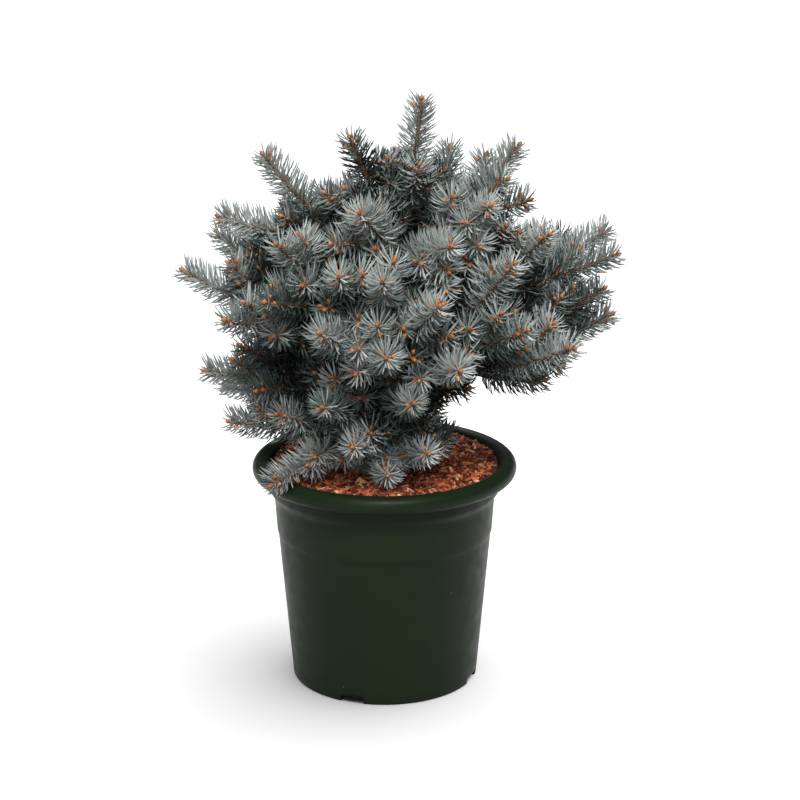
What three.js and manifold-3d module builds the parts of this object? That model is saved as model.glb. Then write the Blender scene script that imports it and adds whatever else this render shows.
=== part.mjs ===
// A dwarf blue spruce with a round crown, growing in a nursery pot that is filled with bark mulch.
// Millimetres, +Z up. The origin is the middle of the pot's flat underside, -Y is the front and +X the right.
//
// The plant is a tree of limbs. A short trunk carries the boughs, and each bough ends in a fork that two or
// three masses of foliage start from. A mass is one stem with a few side shoots, all set with needles, and it
// is one solid. The low masses start from the trunk itself.
import * as THREE from 'three';
import { mergeVertices } from 'three/addons/utils/BufferGeometryUtils.js';
import Module from 'manifold-3d';

const wasm = await Module();
wasm.setup();

// ---- Driving dimensions ----

const gap = 0.3; // clearance between solids that touch on the real plant
const limbEnd = 0.4; // how far a limb's blunt end stands out, as a share of its radius there
const limbMiddle = 0.3; // share of a limb's length at which its radius is taken for keeping clear of it
const slivers = [0.1, 0.05, 0.2, 0.3, 0.5]; // details finer than this may be dropped after a cut

const pot = {
  baseRadius: 99.2,
  slope: 0.0884, // how much the wall's radius grows for each millimetre of height
  wall: 2.6,
  floor: 3,
  ledgeHeight: 162, // a small step outwards, on which stacked pots rest
  ledgeStep: 0.9,
  ledgeRise: 2,
  collarHeight: 203, // the wall flares out here, to a collar below the rim
  collarRise: 8.5,
  collarRadius: 123.2,
  rimHeight: 232.7, // middle of the rolled rim
  rimRadius: 130.4,
  rimTube: 9.6, // outer radius of the roll
  rimWrap: 75, // degrees that the roll goes on down past its outermost line
  rollSteps: [3, 5], // faces along the roll's section, inside and outside
  segments: 32,
  notches: 4, // drain notches in the bottom edge
  notchWidth: 26,
  notchHeight: 6,
  notchDepth: 10,
  firstNotch: -110, // azimuth in degrees
};
pot.top = pot.rimHeight + pot.rimTube;

const mulch = {
  edge: 235, // height of the mulch at the pot's wall
  middle: 224, // its height round the trunk, where it lies in a dish
  tilt: 3, // how much higher than that it lies at the back wall, and lower at the front
  rings: 4,
  relief: 2.4, // height of the chips' bumps
  clearance: 0.5,
  flatRadius: 24, // level patch round the trunk's foot
};
mulch.rim = pot.collarRadius - pot.wall - mulch.clearance;

const trunk = {
  foot: [-4, 4, mulch.middle + gap],
  bend: [-4, 4, 350], // straight above the foot, so that the foot is level
  tip: [20, 8, 478],
  footRadius: 13,
  tipRadius: 6,
  flare: 6, // extra radius at the root flare
  flareShare: 0.07, // share of the trunk's length over which the flare fades
  sides: 10,
  steps: 8,
};

const bough = {
  footRadius: 5.6,
  tipRadius: 3.4,
  forkShare: 0.42, // where the fork lies, from the trunk to the middle of the masses' tips
  rise: 0.2, // share of the climb that is made in the first half
  fork: 2.4, // how far the stems at a fork stand out from its middle
  sides: 5,
  steps: 4,
};

const shoot = {
  twigRadius: 2.6, // bare inner part of a twig
  brushRadius: 8, // core of the needles, where they stand too close to see between
  tipRadius: 5.5,
  sides: 3,
  needle: 23, // length of a needle
  shortNeedle: 15, // where there is no room for a long one
  step: 25, // distance between whorls of needles
  leanAtFoot: 62, // degrees between needle and twig
  leanAtTip: 34,
  end: 14, // length of the tuft that ends a shoot
  sag: 0.07, // how far a stem hangs below the straight line, as a share of its length
  bareStem: 0.22, // inner share of a stem that carries no needles
  bareSide: 0.2,
  slimming: 0.03, // step by which a mass's twigs are made slimmer until its skin is sound
  slimmest: 0.8,
  tested: [0.55, 1], // shares of a needle's length at which its place is tested
  margin: 2.4, // how much nearer a needle's point is to its own twig than to another mass's
  fromOwn: 9, // least distance of its point from the twigs beside it in its own mass
  fromLimb: 2.4, // from a bough or the trunk
  fromPot: 2.5, // from the mulch and the pot's rim
};

const side = {
  count: 4, // side shoots on a stem
  firstNode: 0.32, // where the first one leaves the stem, as a share of its length
  nodeStep: 0.13,
  spread: 50, // degrees between stem and side shoot
  forward: 0.35, // how far a side shoot turns along the stem
  turnStep: 137.5, // degrees from one side shoot to the next, round the stem
  lengthShare: 0.52, // length for what is left of the stem, and what is added to it
  lengthMore: 26,
  shortest: 44,
  longest: 78,
  tries: 8, // turns that are tried before a side shoot is left out
  tryStep: 55, // degrees
  tryLength: 0.9, // each further try is shorter by this factor
  apart: 17, // least distance from another mass's twigs
  ownApart: 12, // least distance from the mass's own side shoots
  fromLimb: 12, // least distance from a bough or the trunk
  reach: 0.87, // how far out from the crown's heart its tip may be, as a share of the stem's own tip
  nodeJitter: 0.06, // how much chance moves the node, the length and the turn, in all
  lengthJitter: 16,
  turnJitter: 24,
};

const crownHeart = [10, 0, 420];

// Boughs: name and foot, as a share of the trunk's height.
const boughs = [
  { name: 'bough_upper_left', foot: 0.84 },
  { name: 'bough_upper_front', foot: 0.9 },
  { name: 'bough_upper_right', foot: 0.78 },
  { name: 'bough_upper_back', foot: 0.7 },
  { name: 'bough_right_high', foot: 0.62 },
  { name: 'bough_front_left', foot: 0.68 },
  { name: 'bough_front', foot: 0.5 },
  { name: 'bough_left', foot: 0.56 },
  { name: 'bough_right_front', foot: 0.44 },
  { name: 'bough_right_low', foot: 0.34 },
  { name: 'bough_back_left', foot: 0.48 },
];

// Masses of foliage: the limb that carries each, and where the tip of its leading shoot is, as azimuth in
// degrees, distance out from the pot's axis and height above the ground. A mass on the trunk has its own foot.
// One that stands free of its neighbours has a shorter reach for its side shoots.
const masses = [
  { name: 'top', on: 'trunk', foot: 1, tip: [5, 38, 617], reach: 0.72 },
  { name: 'top_left', on: 'trunk', foot: 0.97, tip: [-138, 44, 584], reach: 0.76 },
  { name: 'left_shoulder', on: 'bough_upper_left', tip: [180, 121, 562], reach: 0.74 },
  { name: 'back_top_left', on: 'bough_upper_left', tip: [130, 104, 508] },
  { name: 'front_high', on: 'bough_upper_front', tip: [-67, 164, 502] },
  { name: 'front_upper_left', on: 'bough_upper_front', tip: [-99, 136, 530] },
  { name: 'right_shoulder', on: 'bough_upper_right', tip: [8, 137, 568] },
  { name: 'front_upper_right', on: 'bough_upper_right', tip: [-46, 148, 532] },
  { name: 'back_top_right', on: 'bough_upper_right', tip: [50, 108, 556] },
  { name: 'back_top', on: 'bough_upper_back', tip: [92, 144, 504] },
  { name: 'back_high_left', on: 'bough_upper_back', tip: [124, 184, 466] },
  { name: 'back_high_right', on: 'bough_upper_back', tip: [60, 180, 506] },
  { name: 'right_high', on: 'bough_right_high', tip: [0, 237, 459] },
  { name: 'right_high_front', on: 'bough_right_high', tip: [-30, 186, 500], reach: 0.84 },
  { name: 'right_high_back', on: 'bough_right_high', tip: [12, 237, 474], reach: 0.84 },
  { name: 'front_left_high', on: 'bough_front_left', tip: [-104, 172, 476] },
  { name: 'left_front_high', on: 'bough_front_left', tip: [-128, 164, 498] },
  { name: 'left_front', on: 'bough_front_left', tip: [-126, 188, 448] },
  { name: 'front_centre', on: 'trunk', foot: 0.66, tip: [-90, 178, 474] },
  { name: 'front_middle', on: 'bough_front', tip: [-89, 194, 404] },
  { name: 'front_middle_right', on: 'bough_front', tip: [-74, 190, 450] },
  { name: 'front_middle_left', on: 'bough_front', tip: [-108, 190, 424] },
  { name: 'left_high', on: 'bough_upper_left', tip: [177, 167, 498], reach: 0.8 },
  { name: 'left', on: 'bough_left', tip: [-177, 204, 445], reach: 0.82 },
  { name: 'left_low_front', on: 'bough_left', tip: [-143, 192, 420] },
  { name: 'right_front_high', on: 'bough_right_front', tip: [-47, 184, 480] },
  { name: 'right_front', on: 'bough_right_front', tip: [-49, 208, 420] },
  { name: 'front_low_right', on: 'bough_right_front', tip: [-68, 196, 388] },
  { name: 'right', on: 'bough_right_low', tip: [-10, 224, 432] },
  { name: 'right_low', on: 'bough_right_low', tip: [-5, 232, 401] },
  { name: 'right_low_front', on: 'bough_right_low', tip: [-31, 217, 390] },
  { name: 'right_underside', on: 'bough_right_low', tip: [-19, 170, 342] },
  { name: 'back_left', on: 'bough_back_left', tip: [150, 206, 460] },
  { name: 'back_left_low', on: 'bough_back_left', tip: [138, 204, 398] },
  { name: 'back', on: 'trunk', foot: 0.44, tip: [94, 204, 440] },
  { name: 'back_right', on: 'trunk', foot: 0.5, tip: [38, 214, 456] },
  { name: 'left_low', on: 'trunk', foot: 0.4, tip: [-171, 184, 344] },
  { name: 'front_low', on: 'trunk', foot: 0.36, tip: [-80, 166, 350], reach: 0.8 },
  { name: 'front_low_left', on: 'trunk', foot: 0.3, tip: [-111, 162, 342] },
  { name: 'back_low_left', on: 'trunk', foot: 0.32, tip: [155, 189, 296] },
  { name: 'back_low', on: 'trunk', foot: 0.24, tip: [88, 182, 334] },
  { name: 'skirt_left', on: 'trunk', foot: 0.2, tip: [-164, 162, 294] },
  { name: 'skirt_over_rim', on: 'trunk', foot: 0.27, tip: [-136, 154, 248] },
  { name: 'skirt_front', on: 'trunk', foot: 0.1, tip: [-88, 104, 256] },
  { name: 'skirt_front_left', on: 'trunk', foot: 0.2, tip: [-103, 132, 294] },
  { name: 'skirt_front_right', on: 'trunk', foot: 0.15, tip: [-70, 128, 284] },
];

// ---- Materials ----

const finish = (color, roughness) => new THREE.MeshStandardMaterial({ color, roughness, metalness: 0 });
const plastic = finish('#2b3a2c', 0.5);
const mulchBark = finish('#7c3f22', 0.95);
const bark = finish('#5f4232', 0.9);
const needles = finish('#7f979a', 0.65);

// ---- Small tools ----

const rad = THREE.MathUtils.degToRad;
const mix = THREE.MathUtils.lerp;
const vector = (x, y, z) => new THREE.Vector3(x, y, z);

// A die for a seed: each throw gives the next number from 0 to 1 of a linear congruential series.
function dice(seed) {
  let state = (seed * 2654435761) >>> 0;
  return () => {
    state = (Math.imul(state, 1664525) + 1013904223) >>> 0;
    return state / 4294967296;
  };
}

// The point at an azimuth in degrees, a distance out from the pot's axis and a height.
function placeOf([azimuth, out, height]) {
  return vector(out * Math.cos(rad(azimuth)), out * Math.sin(rad(azimuth)), height);
}

const arc = (from, bend, to) => new THREE.QuadraticBezierCurve3(from, bend, to);

// The unit vector square to a direction, on its upper side, or on its front side if it is nearly upright.
function upperSide(direction) {
  const up = Math.abs(direction.z) > 0.9 ? vector(0, -1, 0) : vector(0, 0, 1);
  return up.addScaledVector(direction, -up.dot(direction)).normalize();
}

// The direction at an angle to the axis, turned round it from its upper side. Both are in degrees.
function branchOff(axis, angle, turn) {
  const up = upperSide(axis);
  const across = axis.clone().cross(up);
  return axis.clone().multiplyScalar(Math.cos(rad(angle)))
    .addScaledVector(up, Math.sin(rad(angle)) * Math.cos(rad(turn)))
    .addScaledVector(across, Math.sin(rad(angle)) * Math.sin(rad(turn)));
}

// ---- From geometry to solids and back ----

function solidOf(positions, triangles) {
  const mesh = new wasm.Mesh({
    numProp: 3,
    vertProperties: new Float32Array(positions),
    triVerts: new Uint32Array(triangles),
  });
  return new wasm.Manifold(mesh);
}

// A solid from a three.js geometry: corners in one place are made one, and flat triangles are dropped.
function solidOfGeometry(geometry) {
  const bare = geometry.clone();
  bare.deleteAttribute('normal');
  bare.deleteAttribute('uv');
  const merged = mergeVertices(bare, 1e-3);
  const corners = Array.from(merged.index.array);
  const triangles = [];
  for (let i = 0; i < corners.length; i += 3) {
    const triangle = corners.slice(i, i + 3);
    if (new Set(triangle).size === 3) triangles.push(...triangle);
  }
  return solidOf(merged.getAttribute('position').array, triangles);
}

function geometryOf(solid) {
  const { vertProperties, triVerts } = solid.getMesh();
  const geometry = new THREE.BufferGeometry();
  geometry.setAttribute('position', new THREE.BufferAttribute(vertProperties, 3));
  return geometry.setIndex(new THREE.BufferAttribute(triVerts, 1));
}

function meshOf(name, solid, material) {
  const geometry = geometryOf(solid);
  geometry.computeVertexNormals();
  const mesh = new THREE.Mesh(geometry, material);
  mesh.name = name;
  return mesh;
}

// Whether every edge of a solid has just two faces, once corners in one place, coarse or fine, are made one.
function isSound(solid) {
  return [1e-3, 1e-4].every((tolerance) => {
    const corners = mergeVertices(geometryOf(solid), tolerance).index.array;
    const faces = new Map();
    corners.forEach((corner, i) => {
      const next = corners[i % 3 === 2 ? i - 2 : i + 1];
      const edge = `${Math.min(corner, next)} ${Math.max(corner, next)}`;
      faces.set(edge, (faces.get(edge) ?? 0) + 1);
    });
    return [...faces.values()].every((count) => count === 2);
  });
}

// The largest body of a solid, without sealed pockets or any scrap that a cut has left loose. Slivers finer
// than the first size that leaves a sound skin are dropped.
function largestOf(solid) {
  let largest = null;
  for (const size of slivers) {
    const bodies = solidOfGeometry(geometryOf(solid.simplify(size))).decompose();
    largest = bodies.reduce((best, body) => (body.volume() > best.volume() ? body : best));
    if (isSound(largest)) break;
  }
  return largest;
}

// ---- Pot and mulch ----

const wallRadius = (height) => pot.baseRadius + pot.slope * height;

// Points on the rolled rim's section, on a circle round its middle, from one angle to another in degrees.
function rollPoints(radius, from, to, steps) {
  return Array.from({ length: steps + 1 }, (_, i) => {
    const angle = rad(mix(from, to, i / steps));
    return [pot.rimRadius + radius * Math.cos(angle), pot.rimHeight + radius * Math.sin(angle)];
  });
}

// Turns a section of [radius, height] points round the Z axis.
function turned(section) {
  const points = section.map(([radius, height]) => new THREE.Vector2(radius, height));
  return new THREE.LatheGeometry(points, pot.segments).rotateX(Math.PI / 2);
}

// The pot's inner wall, from the floor to the collar's top.
function innerWall(clearance) {
  return [
    [wallRadius(pot.floor) - pot.wall - clearance, pot.floor + clearance],
    [wallRadius(pot.collarHeight) - pot.wall - clearance, pot.collarHeight],
    [pot.collarRadius - pot.wall - clearance, pot.collarHeight + pot.collarRise],
  ];
}

function makePot() {
  const above = pot.ledgeHeight + pot.ledgeRise;
  const section = [
    [0, 0],
    [pot.baseRadius, 0],
    [wallRadius(pot.ledgeHeight), pot.ledgeHeight],
    [wallRadius(above) + pot.ledgeStep, above],
    [wallRadius(pot.collarHeight), pot.collarHeight],
    [pot.collarRadius, pot.collarHeight + pot.collarRise],
    ...rollPoints(pot.rimTube - pot.wall, 180, -pot.rimWrap, pot.rollSteps[0]),
    ...rollPoints(pot.rimTube, -pot.rimWrap, 180, pot.rollSteps[1]),
    ...innerWall(0).reverse(),
    [0, pot.floor],
  ];
  let solid = solidOfGeometry(turned(section));
  for (let i = 0; i < pot.notches; i += 1) {
    const notch = new THREE.BoxGeometry(2 * pot.notchDepth, pot.notchWidth, 2 * pot.notchHeight);
    notch.translate(pot.baseRadius, 0, 0).rotateZ(rad(pot.firstNotch + (i * 360) / pot.notches));
    solid = solid.subtract(solidOfGeometry(notch));
  }
  return solid;
}

// Height of the mulch: level round the trunk, then up to the wall.
function mulchHeight(x, y) {
  const share = (Math.hypot(x, y) - mulch.flatRadius) / (mulch.rim - mulch.flatRadius);
  const climb = 1 - (1 - Math.min(Math.max(share, 0), 1)) ** 3;
  return mix(mulch.middle, mulch.edge + (mulch.tilt * y) / mulch.rim, climb);
}

function makeMulch() {
  const wall = innerWall(mulch.clearance);
  const section = [[0, wall[0][1]], ...wall];
  for (let i = 0; i <= mulch.rings; i += 1) {
    section.push([mix(mulch.rim, mulch.flatRadius, i / mulch.rings), mulch.edge]);
  }
  section.push([0, mulch.edge]);
  const geometry = turned(section);
  const position = geometry.getAttribute('position');
  for (let i = 0; i < position.count; i += 1) {
    const [x, y, z] = [position.getX(i), position.getY(i), position.getZ(i)];
    if (z < mulch.edge - 1) continue;
    const out = Math.hypot(x, y);
    const bumpy = out > mulch.flatRadius + 1 && out < mulch.rim - 1;
    const throwOnce = dice(Math.round(x) * 31 + Math.round(y) * 17); // a seed for each place, also on the seam
    position.setZ(i, mulchHeight(x, y) + (bumpy ? mulch.relief * (2 * throwOnce() - 1) : 0));
  }
  return solidOfGeometry(geometry);
}

// ---- Limbs ----

// A closed skin over rings of points. The ends close on the two end points. A quad that teeth gives a point
// for is drawn out to it.
function skin(rings, startPoint, endPoint, tooth = () => null) {
  const count = rings[0].length;
  const points = [...rings.flat()];
  const triangles = [];
  const corner = (ring, i) => ring * count + (i % count);
  for (let ring = 0; ring + 1 < rings.length; ring += 1) {
    for (let i = 0; i < count; i += 1) {
      const quad = [corner(ring, i), corner(ring, i + 1), corner(ring + 1, i + 1), corner(ring + 1, i)];
      const peak = tooth(ring, i);
      if (peak) {
        points.push(peak);
        quad.forEach((a, k) => triangles.push(a, quad[(k + 1) % 4], points.length - 1));
      } else {
        triangles.push(quad[0], quad[1], quad[3], quad[1], quad[2], quad[3]);
      }
    }
  }
  points.push(startPoint, endPoint);
  for (let i = 0; i < count; i += 1) {
    triangles.push(corner(0, i + 1), corner(0, i), points.length - 2);
    triangles.push(corner(rings.length - 1, i), corner(rings.length - 1, i + 1), points.length - 1);
  }
  return solidOf(points.flatMap((p) => p.toArray()), triangles);
}

// Frames along a curve: place, direction, and a side vector that is carried along without twisting.
function framesOf(curve, steps) {
  let normal = null;
  return Array.from({ length: steps + 1 }, (_, i) => {
    const at = curve.getPoint(i / steps);
    const along = curve.getTangent(i / steps);
    normal = normal ? normal.clone().addScaledVector(along, -normal.dot(along)).normalize() : upperSide(along);
    return { at, along, normal, across: along.clone().cross(normal) };
  });
}

function ringOf({ at, normal, across }, radius, sides, twist = 0) {
  return Array.from({ length: sides }, (_, i) => {
    const angle = ((i + twist) * 2 * Math.PI) / sides;
    return at.clone()
      .addScaledVector(normal, radius * Math.cos(angle))
      .addScaledVector(across, radius * Math.sin(angle));
  });
}

const limbRadius = (limb, share) => mix(limb.footRadius, limb.tipRadius, share)
  + (limb.flare ? limb.flare * Math.exp(-share / limb.flareShare) : 0);

// A tapering limb along its curve. With more it is that much thicker and longer, for cutting a clearance.
function limbSolid(limb, more = 0) {
  const frames = framesOf(limb.curve, limb.steps);
  const [start, end] = [frames[0], frames.at(-1)];
  start.at.addScaledVector(start.along, -more);
  end.at.addScaledVector(end.along, more);
  const rings = frames.map((frame, i) => {
    return ringOf(frame, limbRadius(limb, i / limb.steps) + more, limb.sides);
  });
  const point = end.at.clone().addScaledVector(end.along, limbEnd * limb.tipRadius);
  return skin(rings, start.at, point);
}

trunk.curve = arc(vector(...trunk.foot), vector(...trunk.bend), vector(...trunk.tip));
masses.forEach((mass) => { mass.tipPoint = placeOf(mass.tip); });

for (const limb of boughs) {
  const tips = masses.filter((mass) => mass.on === limb.name).map((mass) => mass.tipPoint);
  const middle = tips.reduce((sum, tip) => sum.add(tip), vector(0, 0, 0)).divideScalar(tips.length);
  const foot = trunk.curve.getPoint(limb.foot);
  const fork = foot.clone().lerp(middle, bough.forkShare);
  const bend = foot.clone().lerp(fork, 0.5);
  bend.z = mix(foot.z, fork.z, bough.rise);
  Object.assign(limb, bough, { foot: limb.foot, fork, curve: arc(foot, bend, fork) });
}

// ---- Shoots ----

const samplesOf = (curve, steps = 8) => Array.from({ length: steps + 1 }, (_, i) => curve.getPoint(i / steps));

// Distance from a point to a chain of short straight pieces.
function distanceTo(chain, point) {
  let nearest = Infinity;
  for (let i = 0; i + 1 < chain.length; i += 1) {
    const piece = new THREE.Line3(chain[i], chain[i + 1]);
    nearest = Math.min(nearest, piece.closestPointToPoint(point, true, vector(0, 0, 0)).distanceTo(point));
  }
  return nearest;
}

const limbs = [trunk, ...boughs].map((limb) => ({ limb, chain: samplesOf(limb.curve) }));

// Whether a point keeps a distance from the boughs and the trunk, apart from one of them.
function clearOfLimbs(point, distance, except) {
  return limbs.every(({ limb, chain }) => {
    return limb === except || distanceTo(chain, point) > distance + limbRadius(limb, limbMiddle);
  });
}

// Whether a point keeps a distance from the mulch and the pot.
function clearOfPot(point, distance) {
  const out = Math.hypot(point.x, point.y);
  if (out > pot.rimRadius + pot.rimTube + distance) return true;
  const inside = out < pot.rimRadius - pot.rimTube - distance;
  return point.z > distance + (inside ? mulchHeight(point.x, point.y) + mulch.relief : pot.top);
}

// Where a stem leaves its limb: in the trunk's middle, or at that side of a bough's end that it leans to.
function footOf(mass, carrier) {
  if (carrier === trunk) return trunk.curve.getPoint(mass.foot);
  const end = carrier.curve.getTangent(1);
  const leaning = mass.tipPoint.clone().sub(carrier.fork);
  leaning.addScaledVector(end, -leaning.dot(end)).normalize();
  return carrier.fork.clone().addScaledVector(leaning, bough.fork);
}

// The stem of a mass runs from its limb to the tip of its leading shoot, and hangs a little.
function stemCurve(mass, carrier) {
  const foot = footOf(mass, carrier);
  const bend = foot.clone().lerp(mass.tipPoint, 0.5);
  bend.z -= shoot.sag * foot.distanceTo(mass.tipPoint);
  return arc(foot, bend, mass.tipPoint);
}

function sideCurve(stem, share, length, turn) {
  const start = stem.getPoint(share);
  const along = stem.getTangent(share);
  const away = branchOff(along, side.spread, turn);
  const onward = away.clone().addScaledVector(along, side.forward).normalize();
  const end = start.clone().addScaledVector(onward, length);
  return arc(start, start.clone().addScaledVector(away, length / 2), end);
}

masses.forEach((mass, number) => {
  const carrier = boughs.find((limb) => limb.name === mass.on) ?? trunk;
  const curve = stemCurve(mass, carrier);
  const stem = { curve, bare: shoot.bareStem, chain: samplesOf(curve) };
  Object.assign(mass, { number, carrier, stem, shoots: [stem] });
});

const twigsOfOthers = (mass) => masses.filter((other) => other !== mass).flatMap((other) => other.shoots);
const fromHeart = (point) => point.distanceTo(vector(...crownHeart));

function fits(mass, curve) {
  const others = twigsOfOthers(mass);
  const own = mass.shoots.slice(1);
  if (fromHeart(curve.v2) > (mass.reach ?? side.reach) * fromHeart(mass.tipPoint)) return false;
  return samplesOf(curve, 5).slice(2).every((point) => {
    return clearOfPot(point, shoot.fromPot + shoot.brushRadius) && clearOfLimbs(point, side.fromLimb)
      && own.every(({ chain }) => distanceTo(chain, point) > side.ownApart)
      && others.every(({ chain }) => distanceTo(chain, point) > side.apart);
  });
}

// Side shoots leave the stem in turn, each by its own throw of the dice. One that would come too near a limb,
// the pot or another twig, or too far out, is tried again shorter and turned further round the stem. It is left
// out if no turn will do.
for (const mass of masses) {
  const throwDice = dice(mass.number + 1);
  const firstTurn = 360 * throwDice();
  for (let i = 0; i < side.count; i += 1) {
    const share = side.firstNode + side.nodeStep * i + side.nodeJitter * (throwDice() - 0.5);
    const free = (1 - share) * mass.stem.curve.getLength();
    const wanted = side.lengthShare * free + side.lengthMore + side.lengthJitter * (throwDice() - 0.5);
    const length = THREE.MathUtils.clamp(wanted, side.shortest, side.longest);
    const turn = firstTurn + i * side.turnStep + side.turnJitter * (throwDice() - 0.5);
    for (let attempt = 0; attempt < side.tries; attempt += 1) {
      const tried = length * side.tryLength ** attempt;
      const curve = sideCurve(mass.stem.curve, share, tried, turn + attempt * side.tryStep);
      if (!fits(mass, curve)) continue;
      mass.shoots.push({ curve, bare: shoot.bareSide, chain: samplesOf(curve, 5) });
      break;
    }
  }
}

// ---- Needles ----

// Whether a needle from a twig to its point stays in its own mass's space: nearer to its own twig than to any
// other mass's, off the limbs, and above the mulch and the pot's rim.
function staysInSpace(others, own, from, to) {
  return shoot.tested.every((share) => {
    const point = from.clone().lerp(to, share);
    const reach = distanceTo(own.chain, point) + shoot.margin;
    return clearOfPot(point, shoot.fromPot) && clearOfLimbs(point, shoot.fromLimb)
      && others.every(({ chain }) => distanceTo(chain, point) > reach);
  });
}

const stepsOf = (twig) => Math.max(2, Math.round(twig.curve.getLength() / shoot.step));

// The radius that a shoot's core may have at a point: up to half way to the nearest other twig.
function roomAt(others, point) {
  return Math.min(...others.map(({ chain }) => distanceTo(chain, point))) / 2 - gap;
}

// A shoot: a twig, bare at its foot and then set with whorls of needles, each whorl turned from the last.
function shootSolid(mass, twig, fullness) {
  const others = twigsOfOthers(mass);
  const beside = mass.shoots.filter((other) => other !== twig);
  const steps = stepsOf(twig);
  const frames = framesOf(twig.curve, steps);
  const rings = frames.map((frame, i) => {
    const full = Math.min(mix(shoot.brushRadius, shoot.tipRadius, i / steps), roomAt(others, frame.at));
    const radius = i / steps < twig.bare ? shoot.twigRadius : Math.max(full, shoot.twigRadius);
    return ringOf(frame, fullness * radius, shoot.sides, i / 2);
  });
  const needle = (ring, i) => {
    const share = (ring + 0.5) / steps;
    if (share < twig.bare) return null;
    const middle = rings[ring][i].clone().add(rings[ring][(i + 1) % shoot.sides])
      .add(rings[ring + 1][i]).add(rings[ring + 1][(i + 1) % shoot.sides]).divideScalar(4);
    const { at, along } = frames[ring];
    const outward = middle.clone().sub(at);
    outward.addScaledVector(along, -outward.dot(along)).normalize();
    const lean = rad(mix(shoot.leanAtFoot, shoot.leanAtTip, share ** 2));
    for (const length of [shoot.needle, shoot.shortNeedle]) {
      const peak = middle.clone()
        .addScaledVector(along, length * Math.cos(lean))
        .addScaledVector(outward, length * Math.sin(lean));
      const free = beside.every(({ chain }) => distanceTo(chain, peak) > shoot.fromOwn);
      if (free && staysInSpace(others, twig, middle, peak)) return peak;
    }
    return null;
  };
  const end = frames.at(-1);
  return skin(rings, frames[0].at, end.at.clone().addScaledVector(end.along, shoot.end), needle);
}

// A mass: its stem and side shoots in one solid, cut clear of its limb and of the stems beside it. Its twigs
// are made a little slimmer until the fused skin is sound.
function massSolid(mass) {
  const cutters = [trunk, ...boughs].map((limb) => limbSolid(limb, gap));
  const beside = masses.filter((other) => other.carrier === mass.carrier && other.number < mass.number);
  beside.forEach(({ stem }) => {
    const radius = shoot.twigRadius / Math.cos(Math.PI / 6); // a hexagon that holds the whole twig
    const twig = { curve: stem.curve, footRadius: radius, tipRadius: radius, sides: 6, steps: stepsOf(stem) };
    cutters.push(limbSolid(twig, gap));
  });
  for (let fullness = 1; fullness > shoot.slimmest; fullness -= shoot.slimming) {
    const whole = wasm.Manifold.union(mass.shoots.map((twig) => shootSolid(mass, twig, fullness)));
    const body = largestOf(cutters.reduce((solid, cutter) => solid.subtract(cutter), whole));
    if (isSound(body)) return body;
  }
  throw new Error(`${mass.name} has no sound skin`);
}

// ---- The whole plant ----

const plant = new THREE.Group();
plant.name = 'potted_blue_spruce';

plant.add(meshOf('pot', makePot(), plastic));
plant.add(meshOf('mulch', makeMulch(), mulchBark));
plant.add(meshOf('trunk', limbSolid(trunk), bark));

const cutTrunk = limbSolid(trunk, gap);
boughs.forEach((limb, i) => {
  let solid = limbSolid(limb).subtract(cutTrunk);
  boughs.slice(0, i).forEach((other) => { solid = solid.subtract(limbSolid(other, gap)); });
  plant.add(meshOf(limb.name, largestOf(solid), bark));
});

masses.forEach((mass) => plant.add(meshOf(`needles_${mass.name}`, massSolid(mass), needles)));

export default plant;
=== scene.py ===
# A dwarf blue spruce in a nursery pot: the looks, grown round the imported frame.
# Blender works in metres. The sizes in the dictionaries below are millimetres, and putMesh turns them.
import math

import bpy
import numpy as np
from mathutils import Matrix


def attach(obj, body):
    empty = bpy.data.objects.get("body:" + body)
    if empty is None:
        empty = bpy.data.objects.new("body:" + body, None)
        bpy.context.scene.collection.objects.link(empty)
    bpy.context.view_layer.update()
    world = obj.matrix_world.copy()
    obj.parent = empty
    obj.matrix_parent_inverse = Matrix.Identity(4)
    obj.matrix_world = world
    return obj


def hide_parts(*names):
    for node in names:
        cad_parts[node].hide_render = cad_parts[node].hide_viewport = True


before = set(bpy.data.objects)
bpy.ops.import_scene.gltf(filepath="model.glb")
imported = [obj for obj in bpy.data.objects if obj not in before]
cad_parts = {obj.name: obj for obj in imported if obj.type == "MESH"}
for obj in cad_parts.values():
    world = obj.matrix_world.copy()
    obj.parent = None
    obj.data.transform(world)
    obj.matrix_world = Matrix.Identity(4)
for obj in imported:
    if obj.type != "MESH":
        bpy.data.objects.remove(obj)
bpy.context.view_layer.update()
print("frame:", len(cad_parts), "nodes")

metre = 1000.0  # millimetres
goldenTurn = math.radians(137.5)  # the turn from one needle to the next, round a twig
twoPi = 2 * math.pi
plantCollection = bpy.data.collections.new("plant")
mulchCollection = bpy.data.collections.new("mulch")
for collection in (plantCollection, mulchCollection):
    bpy.context.scene.collection.children.link(collection)


# An sRGB hex colour as linear red, green, blue and alpha.
def linearColour(code):
    parts = [int(code[i:i + 2], 16) / 255 for i in (1, 3, 5)]
    return [p / 12.92 if p <= 0.04045 else ((p + 0.055) / 1.055) ** 2.4 for p in parts] + [1.0]


# Adds a node with its settings. An input is a plain value, or the output of another node to link.
def addNode(tree, kind, settings=None, inputs=None):
    node = tree.nodes.new(kind)
    for key, value in (settings or {}).items():
        setattr(node, key, value)
    for key, value in (inputs or {}).items():
        if isinstance(value, bpy.types.NodeSocket):
            tree.links.new(value, node.inputs[key])
        else:
            node.inputs[key].default_value = value
    return node


# An empty material with a Principled shader that is already linked to the output.
def newMaterial(name, roughness, ior=1.5, specular=0.5):
    material = bpy.data.materials.new(name)
    material.use_nodes = True
    tree = material.node_tree
    tree.nodes.clear()
    shader = addNode(tree, "ShaderNodeBsdfPrincipled", inputs={
        "Roughness": roughness, "IOR": ior, "Specular IOR Level": specular})
    addNode(tree, "ShaderNodeOutputMaterial", inputs={"Surface": shader.outputs[0]})
    return material, tree, shader


# The mix of two numbers or arrays, from a at share 0 to b at share 1.
def mix(a, b, share):
    return a + (b - a) * share


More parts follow.
